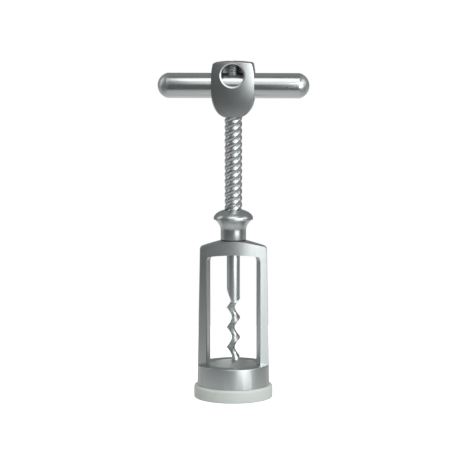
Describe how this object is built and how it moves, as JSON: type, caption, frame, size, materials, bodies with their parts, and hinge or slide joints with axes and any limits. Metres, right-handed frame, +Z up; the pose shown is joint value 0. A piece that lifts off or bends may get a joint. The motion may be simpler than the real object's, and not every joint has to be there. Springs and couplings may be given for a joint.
{
  "type": "corkscrew",
  "caption": "Screw corkscrew: T-handle on a coarse multi-start spindle running through a turning collar on an open bell frame with a plastic bottle ring.",
  "frame": {"origin": "centre of the bottom face of the plastic ring, on the spindle's axis", "axes": "+Z up along the spindle to the handle, +X along the width of the window, across both legs of the frame, -Y the front with the hub's round window"},
  "size_m": [0.0838, 0.044, 0.1881],
  "materials": {
    "satin_steel": "satin, fine brushing",
    "polished_steel": "polished",
    "spindle_steel": "semi-polished, rolled thread",
    "pin_steel": "ground",
    "bush_brass": "machined",
    "ring_plastic": "translucent, slightly cloudy",
    "nylon": "moulded"
  },
  "bodies": {
    "frame": {"frame": "satin_steel", "bottle_ring": "ring_plastic", "thrust_washer": "nylon", "retaining_pin_left": "pin_steel", "retaining_pin_right": "pin_steel"},
    "collar": {"collar": "satin_steel", "collar_cap": "satin_steel", "threaded_bush": "bush_brass", "bush_pin": "pin_steel"},
    "carriage": {"stop_ring": "pin_steel"},
    "handle": {"spindle": "spindle_steel", "worm": "polished_steel", "worm_pin": "pin_steel", "hub": "satin_steel", "hub_dowel": "pin_steel", "handle_bar": "polished_steel", "clamp_screw": "pin_steel"}
  },
  "joints": [
    {"name": "collar_turn", "type": "hinge", "parent": "frame", "child": "collar", "pos_m": [0, 0, 0.0884], "axis": [0, 0, 1], "continuous": true},
    {"name": "spindle_slide", "type": "slide", "parent": "collar", "child": "carriage", "axis": [0, 0, 1], "range_m": [-0.0504, 0]},
    {"name": "handle_turn", "type": "hinge", "parent": "carriage", "child": "handle", "pos_m": [0, 0, 0.0893], "axis": [0, 0, 1], "range_deg": [-1620, 0]}
  ],
  "couplings": [
    {"joint": "handle_turn", "follows": "spindle_slide", "rad_per_m": 561}
  ]
}
